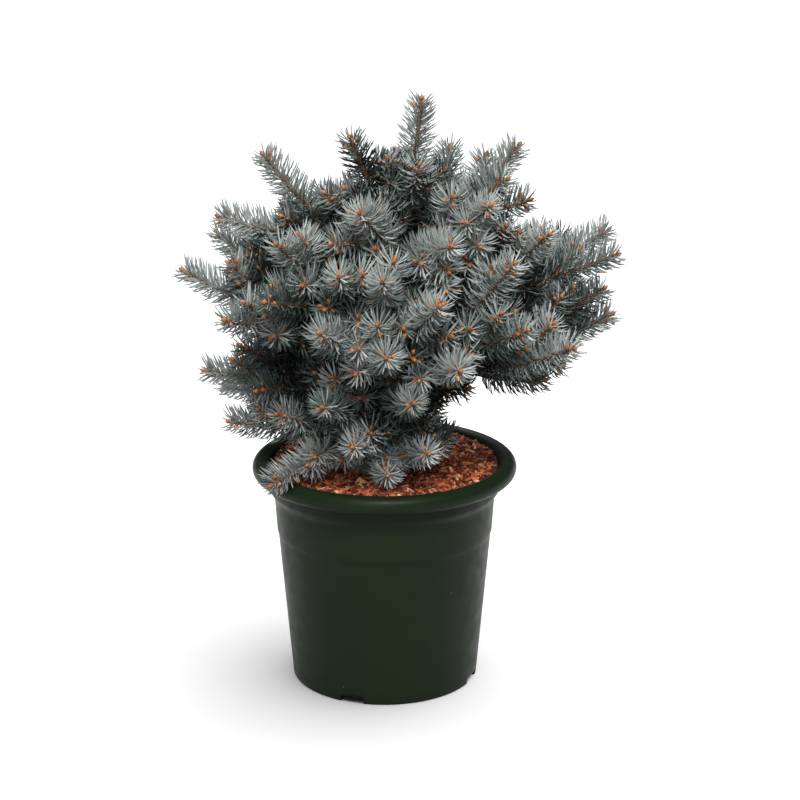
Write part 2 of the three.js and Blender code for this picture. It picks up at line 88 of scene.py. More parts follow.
# Vectors of length 1 along the given ones.
def unit(vectors):
    return vectors / np.linalg.norm(vectors, axis=-1, keepdims=True)


# A mesh that rides on the plant, from points in millimetres and arrays of faces with three or four corners.
def putMesh(name, points, faceSets, material, smooth=True):
    sizes = np.concatenate([np.full(len(faces), faces.shape[1], np.int32) for faces in faceSets])
    corners = np.concatenate([faces.ravel() for faces in faceSets]).astype(np.int32)
    mesh = bpy.data.meshes.new(name)
    mesh.vertices.add(len(points))
    mesh.vertices.foreach_set("co", (points / metre).astype(np.float32).ravel())
    mesh.loops.add(len(corners))
    mesh.loops.foreach_set("vertex_index", corners)
    mesh.polygons.add(len(sizes))
    mesh.polygons.foreach_set("loop_start", np.cumsum(sizes).astype(np.int32) - sizes)
    mesh.polygons.foreach_set("loop_total", sizes)
    mesh.polygons.foreach_set("use_smooth", np.full(len(sizes), smooth))
    mesh.materials.append(material)
    mesh.update(calc_edges=True)
    piece = bpy.data.objects.new(name, mesh)
    plantCollection.objects.link(piece)
    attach(piece, "root")
    print(f"{name}: {int((sizes - 2).sum())} triangles")
    return piece


# Quads of a grid of rows and columns whose last column joins the first.
def wrappedQuads(rows, columns):
    row, column = np.meshgrid(np.arange(rows - 1), np.arange(columns), indexing="ij")
    here, beside = row * columns + column, row * columns + (column + 1) % columns
    return np.stack([here, beside, beside + columns, here + columns], -1).reshape(-1, 4)


# Faces of a skin of rows and columns that is closed at both ends: its quads, and the fans to the middles of
# its foot and its end, which are the two points after the grid's.
def skinFaces(rows, columns):
    ring, beside = np.arange(columns), (np.arange(columns) + 1) % columns
    last, tips = (rows - 1) * columns, rows * columns
    foot = np.stack([beside, ring, np.full(columns, tips)], -1)
    end = np.stack([last + ring, last + beside, np.full(columns, tips + 1)], -1)
    return wrappedQuads(rows, columns), np.concatenate([foot, end])


# One mesh of many small shapes, from the points of each and the faces of one.
def putCopies(name, points, faceSets, material, smooth=True):
    firsts = (np.arange(points.shape[0]) * points.shape[1])[:, None, None]
    copied = [(faces + firsts).reshape(-1, faces.shape[1]) for faces in faceSets]
    return putMesh(name, points.reshape(-1, 3), copied, material, smooth)


# A curve is three points, foot, bend and tip, in an array. Its point at a share is the quadratic Bezier mix
# of the three, with weights (1-s)^2, 2s(1-s) and s^2.
def pointAt(curve, share):
    s = np.asarray(share, float)[..., None]
    return (1 - s) ** 2 * curve[..., 0, :] + 2 * s * (1 - s) * curve[..., 1, :] + s ** 2 * curve[..., 2, :]


# The unit direction of the curve at a share: the mix of its two legs.
def headingAt(curve, share):
    s = np.asarray(share, float)[..., None]
    firstLeg, secondLeg = curve[..., 1, :] - curve[..., 0, :], curve[..., 2, :] - curve[..., 1, :]
    return unit((1 - s) * firstLeg + s * secondLeg)


# Length of a curve, as the sum of its short chords.
def lengthOf(curve):
    points = pointAt(curve, np.linspace(0, 1, 201))
    return np.linalg.norm(np.diff(points, axis=0), axis=1).sum()


# The straight pieces between even steps along a curve, as pairs of ends.
def piecesOf(curve, steps):
    points = pointAt(curve, np.linspace(0, 1, steps + 1))
    return np.stack([points[:-1], points[1:]], 1)


# Distance from each point to each straight piece: the point is dropped on the piece's line, and the foot of
# the drop is held between its ends.
def distancesTo(pieces, points):
    starts, spans = pieces[:, 0], pieces[:, 1] - pieces[:, 0]
    offsets = points[:, None] - starts
    share = np.clip((offsets * spans).sum(-1) / (spans ** 2).sum(-1), 0, 1)
    return np.linalg.norm(offsets - share[..., None] * spans, axis=-1)


# Two directions square to a heading and to each other. The first is as near to the reference as can be.
def squareTo(heading, reference):
    normal = unit(reference - heading * (heading * reference).sum(-1, keepdims=True))
    return normal, np.cross(heading, normal)


# Unit vectors square to directions, on their upper sides, or on their front sides where they stand nearly
# upright, within about 26 degrees.
def upperSide(heading):
    upright = np.abs(heading[..., 2:]) > 0.9
    up = np.where(upright, np.array([0.0, -1.0, 0.0]), np.array([0.0, 0.0, 1.0]))
    return squareTo(heading, up)[0]


# Rings of directions round headings, from two that are square to them.
def ringOf(normal, across, count):
    angle = np.arange(count) * twoPi / count
    return normal[..., None, :] * np.cos(angle)[:, None] + across[..., None, :] * np.sin(angle)[:, None]


# The direction at an angle to a heading, turned round it from its upper side.
def branchOff(heading, angle, turn):
    up, across = squareTo(heading, upperSide(heading))
    return math.cos(angle) * heading + math.sin(angle) * (math.cos(turn) * up + math.sin(turn) * across)


# Throws of a die from 0 to 1: a linear congruential series of 32 bits.
def throwsOf(seed):
    state = seed * 2654435761 % 2 ** 32
    while True:
        state = (state * 1664525 + 1013904223) % 2 ** 32
        yield state / 2 ** 32


# Polypropylene, injection moulded: a satin skin with a faint orange peel, slow drifts of tone and a few pale
# specks of dust.
def mouldedPolypropylene():
    material, tree, shader = newMaterial("mouldedPolypropylene", 0.42, 1.49, 0.1)
    place = addNode(tree, "ShaderNodeTexCoord").outputs["Object"]
    drift = addNode(tree, "ShaderNodeTexNoise", inputs={"Vector": place, "Scale": metre / 90, "Detail": 4.0})
    tone = addNode(tree, "ShaderNodeMix", {"data_type": "RGBA"}, {
        0: drift.outputs["Fac"], 6: linearColour("#131e10"), 7: linearColour("#1a2717")})
    specks = addNode(tree, "ShaderNodeTexVoronoi", inputs={"Vector": place, "Scale": metre / 26})
    near = addNode(tree, "ShaderNodeMapRange", inputs={
        0: specks.outputs["Distance"], 1: 0.018, 2: 0.03, 3: 0.6, 4: 0.0})
    dusted = addNode(tree, "ShaderNodeMix", {"data_type": "RGBA"}, {
        0: near.outputs[0], 6: tone.outputs[2], 7: linearColour("#8b8a80")})
    tree.links.new(dusted.outputs[2], shader.inputs["Base Color"])
    scuffs = addNode(tree, "ShaderNodeTexNoise", inputs={"Vector": place, "Scale": metre / 14, "Detail": 6.0})
    satin = addNode(tree, "ShaderNodeMapRange", inputs={
        0: scuffs.outputs["Fac"], 1: 0.3, 2: 0.7, 3: 0.36, 4: 0.5})
    tree.links.new(satin.outputs[0], shader.inputs["Roughness"])
    peel = addNode(tree, "ShaderNodeTexNoise", inputs={"Vector": place, "Scale": metre / 1.6, "Detail": 2.0})
    bump = addNode(tree, "ShaderNodeBump", inputs={
        "Height": peel.outputs["Fac"], "Strength": 0.12, "Distance": 0.3 / metre})
    tree.links.new(bump.outputs[0], shader.inputs["Normal"])
    return material


# Shredded pine bark: dry fibres, rough, blotched between the two tones of its kind.
def shreddedBark(name, dark, light):
    material, tree, shader = newMaterial(name, 0.88, 1.45)
    place = addNode(tree, "ShaderNodeTexCoord").outputs["Object"]
    blotch = addNode(tree, "ShaderNodeTexNoise", inputs={"Vector": place, "Scale": metre / 7, "Detail": 5.0})
    spread = addNode(tree, "ShaderNodeMapRange", inputs={0: blotch.outputs["Fac"], 1: 0.34, 2: 0.66})
    tone = addNode(tree, "ShaderNodeMix", {"data_type": "RGBA"}, {
        0: spread.outputs[0], 6: linearColour(dark), 7: linearColour(light)})
    tree.links.new(tone.outputs[2], shader.inputs["Base Color"])
    fibre = addNode(tree, "ShaderNodeTexNoise", inputs={"Vector": place, "Scale": metre / 0.9, "Detail": 3.0})
    bump = addNode(tree, "ShaderNodeBump", inputs={
        "Height": fibre.outputs["Fac"], "Strength": 0.5, "Distance": 0.5 / metre})
    tree.links.new(bump.outputs[0], shader.inputs["Normal"])
    return material


# Spruce bark: thin scales over a redder ground, dull, cracked every few millimetres.
def scalyBark(name, ground, scale, scaleSize):
    material, tree, shader = newMaterial(name, 0.9, 1.45)
    place = addNode(tree, "ShaderNodeTexCoord").outputs["Object"]
    cells = addNode(tree, "ShaderNodeTexVoronoi", {"feature": "DISTANCE_TO_EDGE"}, {
        "Vector": place, "Scale": metre / scaleSize})
    face = addNode(tree, "ShaderNodeMapRange", inputs={0: cells.outputs["Distance"], 1: 0.02, 2: 0.16})
    grain = addNode(tree, "ShaderNodeTexNoise", inputs={"Vector": place, "Scale": metre / 2.5, "Detail": 6.0})
    share = addNode(tree, "ShaderNodeMath", {"operation": "MULTIPLY"}, {
        0: face.outputs[0], 1: grain.outputs["Fac"]})
    tone = addNode(tree, "ShaderNodeMix", {"data_type": "RGBA"}, {
        0: share.outputs[0], 6: linearColour(ground), 7: linearColour(scale)})
    tree.links.new(tone.outputs[2], shader.inputs["Base Color"])
    bump = addNode(tree, "ShaderNodeBump", inputs={
        "Height": share.outputs[0], "Strength": 0.6, "Distance": 0.8 / metre})
    tree.links.new(bump.outputs[0], shader.inputs["Normal"])
    return material


# Bud scales: papery, touched with resin, orange-brown with darker overlaps.
def paperyBudScale():
    material, tree, shader = newMaterial("paperyBudScale", 0.5, 1.48)
    place = addNode(tree, "ShaderNodeTexCoord").outputs["Object"]
    overlap = addNode(tree, "ShaderNodeTexVoronoi", inputs={"Vector": place, "Scale": metre / 2.2})
    share = addNode(tree, "ShaderNodeMapRange", inputs={0: overlap.outputs["Distance"], 1: 0.2, 2: 0.75})
    tone = addNode(tree, "ShaderNodeMix", {"data_type": "RGBA"}, {
        0: share.outputs[0], 6: linearColour("#c67f42"), 7: linearColour("#87502a")})
    tree.links.new(tone.outputs[2], shader.inputs["Base Color"])
    return material


# Spruce needles under their bloom of wax: dull, blue-grey, a little sheen at grazing angles. The bloom is
# uneven, so the tone drifts faintly within each tint, from needle to needle.
def waxyNeedle(name, shade, bloom):
    material, tree, shader = newMaterial(name, 0.6, 1.45, 0.3)
    place = addNode(tree, "ShaderNodeTexCoord").outputs["Object"]
    wax = addNode(tree, "ShaderNodeTexNoise", inputs={"Vector": place, "Scale": metre / 5, "Detail": 2.0})
    share = addNode(tree, "ShaderNodeMapRange", inputs={0: wax.outputs["Fac"], 1: 0.35, 2: 0.65})
    tone = addNode(tree, "ShaderNodeMix", {"data_type": "RGBA"}, {
        0: share.outputs[0], 6: linearColour(shade), 7: linearColour(bloom)})
    tree.links.new(tone.outputs[2], shader.inputs["Base Color"])
    return material


pot = {
    "baseRadius": 99.2, "slope": 0.0884, "wall": 2.6, "floor": 3.0,
    "ledgeHeight": 162.0, "ledgeStep": 0.9, "ledgeRise": 2.0,  # the step on which stacked pots rest
    "collarHeight": 203.0, "collarRise": 8.5, "collarRadius": 123.2,
    "rimHeight": 232.7, "rimRadius": 130.4, "rimTube": 9.6, "rimWrap": 75.0,
    "notches": 4, "notchWidth": 26.0, "notchHeight": 6.0, "notchDepth": 10.0, "firstNotch": -110.0,
    "notchSide": 0.002,  # half the angle over which a notch's side rises, in radians
    "notchStep": 0.4,  # how far out its inner end runs as it rises
    "edge": 0.8, "bevel": 0.3, "bevelIn": 0.2, "flareEase": 1.2,  # how the moulded edges are rounded
    "columns": 176, "rollSteps": (14, 22), "outsideStep": 6.0, "insideStep": 12.0,
}
potTop = pot["rimHeight"] + pot["rimTube"]


# Outer radius of the wall, which widens evenly.
def wallRadius(height):
    return pot["baseRadius"] + pot["slope"] * height


# Points of the rolled rim's section: a circle round the roll's middle, from one angle to another.
def rollPoints(radius, start, end, steps):
    angle = np.radians(np.linspace(start, end, steps + 1))
    out, up = pot["rimRadius"] + radius * np.cos(angle), pot["rimHeight"] + radius * np.sin(angle)
    return np.stack([out, up], -1)


# Even points between each pair of a section's corners, so that the wall has rows to shade smoothly.
def filledIn(corners, step):
    rows = [corners[:1]]
    for start, end in zip(corners[:-1], corners[1:]):
        count = max(1, int(np.ceil(np.linalg.norm(end - start) / step)))
        rows.append(start + (end - start) * (np.arange(1, count + 1) / count)[:, None])
    return np.concatenate(rows)


# A section of radius and height turned round the upright axis, with one column of points for each angle.
def turnedPoints(section, angles):
    radius, height = section[:, :1], section[:, 1:]
    x, y = radius * np.cos(angles), radius * np.sin(angles)
    return np.stack([x, y, np.broadcast_to(height, x.shape)], -1)


# The pot: one section of radius and height, turned round the axis. It goes up the outer face, round both
# faces of the rolled rim and down the inner face.
def makePot():
    inner = pot["rimTube"] - pot["wall"]
    edge, bevel, ease = pot["edge"], pot["bevel"], pot["flareEase"]
    ledge, collar, rise = pot["ledgeHeight"], pot["collarHeight"], pot["collarRise"]
    ledgeTop, neck = ledge + pot["ledgeRise"], wallRadius(collar)
    # The outer face's corners, from the bottom edge up: the wall, the ledge's rounded step, and a flare that
    # turns out to the collar and up again.
    outside = np.array([
        [pot["baseRadius"] + bevel, edge],
        [wallRadius(ledge), ledge],
        [wallRadius(ledge) + 0.5 * pot["ledgeStep"], ledge + 0.4 * pot["ledgeRise"]],
        [wallRadius(ledgeTop) + pot["ledgeStep"], ledgeTop],
        [neck, collar - ease],
        [mix(neck, pot["collarRadius"], 0.25), collar + ease],
        [mix(neck, pot["collarRadius"], 0.85), collar + 0.8 * rise],
        [pot["collarRadius"], collar + rise + edge],
    ])
    inside = np.array([
        [pot["collarRadius"] - pot["wall"], collar + rise],
        [neck - pot["wall"], collar],
        [wallRadius(pot["floor"]) - pot["wall"], pot["floor"]],
    ])
    section = np.concatenate([
        filledIn(outside, pot["outsideStep"]),
        rollPoints(inner, 180, -pot["rimWrap"], pot["rollSteps"][0]),
        rollPoints(pot["rimTube"], -pot["rimWrap"], 180, pot["rollSteps"][1]),
        filledIn(inside, pot["insideStep"]),
    ])
    # Columns stand closer at both sides of each notch, so that its ends are upright.
    half = pot["notchWidth"] / 2 / pot["baseRadius"]
    centres = np.radians(pot["firstNotch"]) + np.arange(pot["notches"]) * twoPi / pot["notches"]
    sides = np.concatenate([centres - half, centres + half])
    even = np.arange(pot["columns"]) * twoPi / pot["columns"]
    angles = np.concatenate([even, sides - pot["notchSide"], sides + pot["notchSide"]])
    angles = np.unique(np.round(angles % twoPi, 6))
    away = np.abs((angles[:, None] - centres + math.pi) % twoPi - math.pi).min(1)
    lift = np.where(away < half, pot["notchHeight"], 0.0)
    # The underside: a flat middle, then a step up into each notch, then the bottom edge.
    depth = pot["baseRadius"] - pot["notchDepth"]
    under = turnedPoints(np.array([
        [depth / 2, 0.0], [depth, 0.0], [depth + pot["notchStep"], 0.0],
        [pot["baseRadius"] - edge, 0.0], [pot["baseRadius"] - pot["bevelIn"], bevel]]), angles)
    under[2:, :, 2] += lift
    side = turnedPoints(section, angles)
    side[0, :, 2] += lift
    rows = np.concatenate([under, side])
    points = np.concatenate([rows.reshape(-1, 3), [[0, 0, 0], [0, 0, pot["floor"]]]])
    faceSets = skinFaces(len(rows), len(angles))
    piece = putMesh("moulded_pot", points, faceSets, mouldedPolypropylene())
    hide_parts("pot")


makePot()


mulch = {
    "edge": 235.0, "middle": 224.0,  # heights at the wall and round the trunk
    "tilt": 3.0,  # how much higher it lies at the wall's back than at its sides, and lower in front
    "waves": 0.64, "calmFrom": 8.0, "calmTo": 24.0, "calmShare": 0.2,  # the lumps fade towards the trunk
    "relief": 2.4, "clearance": 0.5, "flatRadius": 24.0,
    "rings": 60, "columns": 150, "innerRing": 0.02,
    "under": 20.0, "skirtShrink": 0.012,  # how deep the skin's edge goes down along the wall, and how far in
    "chips": 4200, "chipLength": (5.0, 17.0), "chipWidth": (1.4, 4.8), "chipThickness": (0.8, 2.2),
    "shortened": (0.5, 1.0), "cornerReach": (0.55, 1.15), "chipTilt": 0.36, "chipRoll": 0.5,
    "chipLift": (-0.6, 2.6), "fromWall": 5.0,
}
chipKinds = [  # name, share of the chips, dark and light tone
    ("darkBarkChip", 0.46, "#441c11", "#7e3b21"),
    ("redBarkChip", 0.42, "#9a4a2d", "#cb7446"),
    ("paleBarkChip", 0.12, "#c2814f", "#ecc09a"),
]
mulchRim = pot["collarRadius"] - pot["wall"] - mulch["clearance"]


# Level of the mulch: flat round the trunk, then up to the wall by the cube of what is left of the way.
def mulchLevel(x, y):
    share = np.clip((np.hypot(x, y) - mulch["flatRadius"]) / (mulchRim - mulch["flatRadius"]), 0, 1)
    return mix(mulch["middle"], mulch["edge"] + mulch["tilt"] * y / mulchRim, 1 - (1 - share) ** 3)


# Height of the mulch: its level with lumps, which are the sum of four crossing waves, from 13 to 32 mm long.
def mulchHeight(x, y):
    waves = (np.sin(x / 5.1 + 1.3 * np.sin(y / 7.7)) + np.sin(y / 4.3 + 1.7 * np.sin(x / 6.1))
             + 0.7 * np.sin((x + y) / 2.9) + 0.7 * np.sin((x - 1.4 * y) / 3.7))
    growth = (np.hypot(x, y) - mulch["calmFrom"]) / (mulch["calmTo"] - mulch["calmFrom"])
    return mulchLevel(x, y) + mulch["waves"] * waves * np.clip(growth, mulch["calmShare"], 1)


# The mulch's ground: rings that shrink from the wall to the trunk, each point at the mulch's height, over a
# skirt that goes down along the wall.
def makeMulchGround():
    angles = np.arange(mulch["columns"]) * twoPi / mulch["columns"]
    radius = mulchRim * np.linspace(1, mulch["innerRing"], mulch["rings"])[:, None]
    x, y = radius * np.cos(angles), radius * np.sin(angles)
    top = np.stack([x, y, mulchHeight(x, y)], -1)
    bottom = mulch["edge"] - mulch["under"]
    skirt = top[:1].copy()
    skirt[..., :2] *= 1 - mulch["skirtShrink"]
    skirt[..., 2] = bottom
    rows = np.concatenate([skirt, top])
    points = np.concatenate([rows.reshape(-1, 3), [[0, 0, bottom], [0, 0, mulchHeight(0.0, 0.0)]]])
    ground = putMesh("mulch_ground", points, skinFaces(len(rows), len(angles)),
                     shreddedBark("barkFines", "#20100a", "#5c2d1b"))
    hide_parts("mulch")
    mulchCollection.objects.link(ground)


# Chips: little slabs whose eight corners are those of a box, each pushed a little at random, laid on the
# ground with a random turn and a slight tilt.
def makeChips():
    random = np.random.default_rng(11)
    count = mulch["chips"]
    limit = mulchRim - mulch["fromWall"]
    out = limit * np.sqrt(random.uniform(0, 1, count))
    around = random.uniform(0, twoPi, count)
    x, y = out * np.cos(around), out * np.sin(around)
    measures = [mulch[key] for key in ("chipLength", "chipWidth", "chipThickness")]
    size = np.stack([random.uniform(*measure, count) for measure in measures], -1)
    size[:, 0] *= random.uniform(*mulch["shortened"], count)
    box = np.array([[a, b, c] for a in (-0.5, 0.5) for b in (-0.5, 0.5) for c in (-0.5, 0.5)])
    corners = box * random.uniform(*mulch["cornerReach"], (count, 8, 3)) * size[:, None]
    turn = random.uniform(0, twoPi, count)
    tilt = random.normal(0, mulch["chipTilt"], count)
    roll = random.normal(0, mulch["chipRoll"], count)
    forward = np.stack([np.cos(turn) * np.cos(tilt), np.sin(turn) * np.cos(tilt), np.sin(tilt)], -1)
    level = np.stack([-np.sin(turn), np.cos(turn), np.zeros(count)], -1)
    above = np.cross(forward, level)
    sideways = level * np.cos(roll)[:, None] + above * np.sin(roll)[:, None]
    above = np.cross(forward, sideways)
    axes = np.stack([forward, sideways, above], 1)
    height = mulchHeight(x, y) + random.uniform(*mulch["chipLift"], count)
    points = np.einsum("nkc,ncd->nkd", corners, axes) + np.stack([x, y, height], -1)[:, None]
    # Corners that would go into the wall are drawn back to it.
    points[..., :2] *= np.minimum(1, mulchRim / np.hypot(points[..., 0], points[..., 1]))[..., None]
    faces = np.array([[0, 1, 3, 2], [4, 6, 7, 5], [0, 4, 5, 1], [2, 3, 7, 6], [0, 2, 6, 4], [1, 5, 7, 3]])
    kinds = random.choice(len(chipKinds), count, p=[share for _, share, _, _ in chipKinds])
    for kind, (name, _, dark, light) in enumerate(chipKinds):
        piece = putCopies(f"mulch_chips_{kind + 1}", points[kinds == kind], [faces],
                          shreddedBark(name, dark, light), smooth=False)
        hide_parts("mulch")
        mulchCollection.objects.link(piece)


makeMulchGround()
makeChips()


fitGap = 0.3  # between the trunk's foot and the mulch
trunk = {
    "name": "trunk",
    "curve": np.array([[-4, 4, mulch["middle"] + fitGap], [-4, 4, 350], [20, 8, 478]], float),
    "footRadius": 13.0, "tipRadius": 6.0, "flare": 6.0, "flareShare": 0.07,
}
bough = {
    "footRadius": 5.6, "tipRadius": 3.4, "forkShare": 0.42, "rise": 0.2, "fork": 2.4,
    "flare": 0.0, "flareShare": 1.0,
}
# Boughs: name and foot, as a share of the way up the trunk.
boughFeet = {
    "bough_upper_left": 0.84, "bough_upper_front": 0.9, "bough_upper_right": 0.78, "bough_upper_back": 0.7,
    "bough_right_high": 0.62, "bough_front_left": 0.68, "bough_front": 0.5, "bough_left": 0.56,
    "bough_right_front": 0.44, "bough_right_low": 0.34, "bough_back_left": 0.48,
}
# Masses of foliage, in the order of their seeds: name, the limb that carries each, its foot as a share of the
# trunk (0 on a bough), and the tip of its leading shoot as azimuth in degrees, distance out and height.
massRows = [
    ("top", "trunk", 1, 5, 38, 617),
    ("top_left", "trunk", 0.97, -138, 44, 584),
    ("left_shoulder", "bough_upper_left", 0, 180, 121, 562),
    ("back_top_left", "bough_upper_left", 0, 130, 104, 508),
    ("front_high", "bough_upper_front", 0, -67, 164, 502),
    ("front_upper_left", "bough_upper_front", 0, -99, 136, 530),
    ("right_shoulder", "bough_upper_right", 0, 8, 137, 568),
    ("front_upper_right", "bough_upper_right", 0, -46, 148, 532),
    ("back_top_right", "bough_upper_right", 0, 50, 108, 556),
    ("back_top", "bough_upper_back", 0, 92, 144, 504),
    ("back_high_left", "bough_upper_back", 0, 124, 184, 466),
    ("back_high_right", "bough_upper_back", 0, 60, 180, 506),
    ("right_high", "bough_right_high", 0, 0, 237, 459),
    ("right_high_front", "bough_right_high", 0, -30, 186, 500),
    ("right_high_back", "bough_right_high", 0, 12, 237, 474),
    ("front_left_high", "bough_front_left", 0, -104, 172, 476),
    ("left_front_high", "bough_front_left", 0, -128, 164, 498),
    ("left_front", "bough_front_left", 0, -126, 188, 448),
    ("front_centre", "trunk", 0.66, -90, 178, 474),
    ("front_middle", "bough_front", 0, -89, 194, 404),
    ("front_middle_right", "bough_front", 0, -74, 190, 450),
    ("front_middle_left", "bough_front", 0, -108, 190, 424),
    ("left_high", "bough_upper_left", 0, 177, 167, 498),
    ("left", "bough_left", 0, -177, 204, 445),
    ("left_low_front", "bough_left", 0, -143, 192, 420),
    ("right_front_high", "bough_right_front", 0, -47, 184, 480),
    ("right_front", "bough_right_front", 0, -49, 208, 420),
    ("front_low_right", "bough_right_front", 0, -68, 196, 388),
    ("right", "bough_right_low", 0, -10, 224, 432),
    ("right_low", "bough_right_low", 0, -5, 232, 401),
    ("right_low_front", "bough_right_low", 0, -31, 217, 390),
    ("right_underside", "bough_right_low", 0, -19, 170, 342),
    ("back_left", "bough_back_left", 0, 150, 206, 460),
    ("back_left_low", "bough_back_left", 0, 138, 204, 398),
    ("back", "trunk", 0.44, 94, 204, 440),
    ("back_right", "trunk", 0.5, 38, 214, 456),
    ("left_low", "trunk", 0.4, -171, 184, 344),
    ("front_low", "trunk", 0.36, -80, 166, 350),
    ("front_low_left", "trunk", 0.3, -111, 162, 342),
    ("back_low_left", "trunk", 0.32, 155, 189, 296),
    ("back_low", "trunk", 0.24, 88, 182, 334),
    ("skirt_left", "trunk", 0.2, -164, 162, 294),
    ("skirt_over_rim", "trunk", 0.27, -136, 154, 248),
    ("skirt_front", "trunk", 0.1, -88, 104, 256),
    ("skirt_front_left", "trunk", 0.2, -103, 132, 294),
    ("skirt_front_right", "trunk", 0.15, -70, 128, 284),
]
masses = [
    {"name": name, "on": carrier, "foot": foot, "tip": np.array([
        out * math.cos(math.radians(azimuth)), out * math.sin(math.radians(azimuth)), height])}
    for name, carrier, foot, azimuth, out, height in massRows]
# The masses that stand free of their neighbours have a shorter reach for their side shoots.
shortReach = {
    "top": 0.72, "top_left": 0.76, "left_shoulder": 0.74, "left_high": 0.8, "left": 0.82,
    "right_high_back": 0.84, "right_high_front": 0.84, "front_low": 0.8,
}
massNodes = ["needles_" + mass["name"] for mass in masses]


# A bough rises from the trunk to its fork, which lies part of the way to the middle of its masses' tips.
def growBough(name, footShare):
    foot = pointAt(trunk["curve"], footShare)
    middle = np.mean([mass["tip"] for mass in masses if mass["on"] == name], axis=0)
    fork = mix(foot, middle, bough["forkShare"])
    bend = (foot + fork) / 2
    bend[2] = mix(foot[2], fork[2], bough["rise"])
    return {**bough, "name": name, "curve": np.array([foot, bend, fork])}


limbs = [trunk] + [growBough(name, share) for name, share in boughFeet.items()]


# A limb's radius tapers evenly, with a flare at its foot that dies away.
def limbRadius(limb, share):
    flare = limb["flare"] * np.exp(-share / limb["flareShare"])
    return mix(limb["footRadius"], limb["tipRadius"], share) + flare


barkRelief = {
    "ridges": 7, "depth": 0.09, "ridgeShare": 0.7, "scaleShare": 0.3,
    "wander": 1.1, "wanderLength": 34.0, "scaleLength": 9.0, "cap": 0.4,
}


# A limb's skin on a grid of share along and angle round: the ring's radius swells and sinks with lengthwise
# ridges that wander from side to side, crossed by short scales.
def limbGrid(limb, columns, step):
    rows = max(6, int(lengthOf(limb["curve"]) / step))
    share = np.linspace(0, 1, rows + 1)
    centre, heading = pointAt(limb["curve"], share), headingAt(limb["curve"], share)
    normal, across = squareTo(heading, upperSide(heading[0]))
    angle = np.arange(columns) * twoPi / columns
    length = (share * lengthOf(limb["curve"]))[:, None]
    wander = barkRelief["wander"] * np.sin(twoPi * length / barkRelief["wanderLength"] + 2 * angle)
    ridge = 1 - 2 * np.abs(np.sin(barkRelief["ridges"] * angle / 2 + wander))
    scale = np.sin(twoPi * length / barkRelief["scaleLength"] + 3 * np.sin(2 * angle))
    relief = barkRelief["ridgeShare"] * ridge + barkRelief["scaleShare"] * scale
    radius = limbRadius(limb, share)[:, None] * (1 + barkRelief["depth"] * relief)
    points = centre[:, None] + radius[..., None] * ringOf(normal, across, columns)
    end = centre[-1] + heading[-1] * barkRelief["cap"] * limb["tipRadius"]
    return points, centre[0], end


# The skins of the chosen limbs in one mesh, each closed at both ends.
def makeLimbs(name, chosen, columns, step, material):
    points, quads, caps, first = [], [], [], 0
    for limb in chosen:
        grid, foot, end = limbGrid(limb, columns, step)
        limbQuads, limbCaps = skinFaces(len(grid), columns)
        points += [grid.reshape(-1, 3), foot[None], end[None]]
        quads.append(limbQuads + first)
        caps.append(limbCaps + first)
        first += len(grid) * columns + 2
    faceSets = [np.concatenate(quads), np.concatenate(caps)]
    piece = putMesh(name, np.concatenate(points), faceSets, material)
    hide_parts(*[limb["name"] for limb in chosen])


makeLimbs("trunk_bark", limbs[:1], 42, 2.0, scalyBark("trunkBark", "#3a241b", "#8a6e5c", 6.5))
makeLimbs("bough_bark", limbs[1:], 20, 2.5, scalyBark("boughBark", "#40241a", "#86614a", 4.5))


shoot = {"sag": 0.07, "bareStem": 0.22, "bareSide": 0.2, "brushRadius": 8.0, "fromPot": 2.5, "steps": 8}
side = {
    "count": 4, "firstNode": 0.32, "nodeStep": 0.13, "spread": math.radians(50), "forward": 0.35,
    "turnStep": 137.5, "lengthShare": 0.52, "lengthMore": 26.0, "shortest": 44.0, "longest": 78.0,
    "nodeJitter": 0.06, "lengthJitter": 16.0, "turnJitter": 24.0,
    "tries": 8, "tryStep": 55.0, "tryLength": 0.9, "apart": 17.0, "ownApart": 12.0, "fromLimb": 12.0,
    "reach": 0.87, "steps": 5,
}
fine = {
    "firstNode": 0.24, "lastNode": 0.9, "nodeEvery": 13.0, "spread": math.radians(52), "forward": 0.5,
    "lengthShare": 0.5, "lengthMore": 15.0, "lengthJitter": 10.0, "shortest": 20.0, "longest": 44.0,
    "bare": 0.08, "tries": 8, "tryStep": 52.0, "apart": 11.0, "fromLimb": 4.0, "fromPot": 8.0,
    "reach": 0.71, "skirtReach": 0.92, "steps": 4, "tested": (0.5, 0.75, 1.0), "firstSeed": 1000,
}
crownHeart = np.array([10.0, 0.0, 420.0])
# Each limb as straight pieces, with its radius at a share of its length for all of them.
limbSteps, limbShare = 8, 0.3
limbPieces = np.concatenate([piecesOf(limb["curve"], limbSteps) for limb in limbs])
limbReach = np.concatenate([np.full(limbSteps, limbRadius(limb, limbShare)) for limb in limbs])


# Whether points keep a distance from the bark of all limbs.
def clearOfLimbs(points, distance):
    return (distancesTo(limbPieces, points) > distance + limbReach).all(1)


# Whether points keep a distance from the mulch and from the pot's rim.
def clearOfPot(points, distance):
    out = np.hypot(points[:, 0], points[:, 1])
    outside = out > pot["rimRadius"] + pot["rimTube"] + distance
    within = out < pot["rimRadius"] - pot["rimTube"] - distance
    ground = np.where(within, mulchLevel(points[:, 0], points[:, 1]) + mulch["relief"], potTop)
    return outside | (points[:, 2] > ground + distance)


# A stem runs from its limb to the tip of its mass's leading shoot, and hangs a little.
def growStem(mass):
    carrier = next(limb for limb in limbs if limb["name"] == mass["on"])
    if carrier is trunk:
        foot = pointAt(trunk["curve"], mass["foot"])
    else:
        fork, end = carrier["curve"][2], headingAt(carrier["curve"], 1)
        leaning = mass["tip"] - fork
        foot = fork + bough["fork"] * unit(leaning - end * (leaning @ end))
    bend = (foot + mass["tip"]) / 2
    bend[2] -= shoot["sag"] * np.linalg.norm(mass["tip"] - foot)
    return np.array([foot, bend, mass["tip"]])


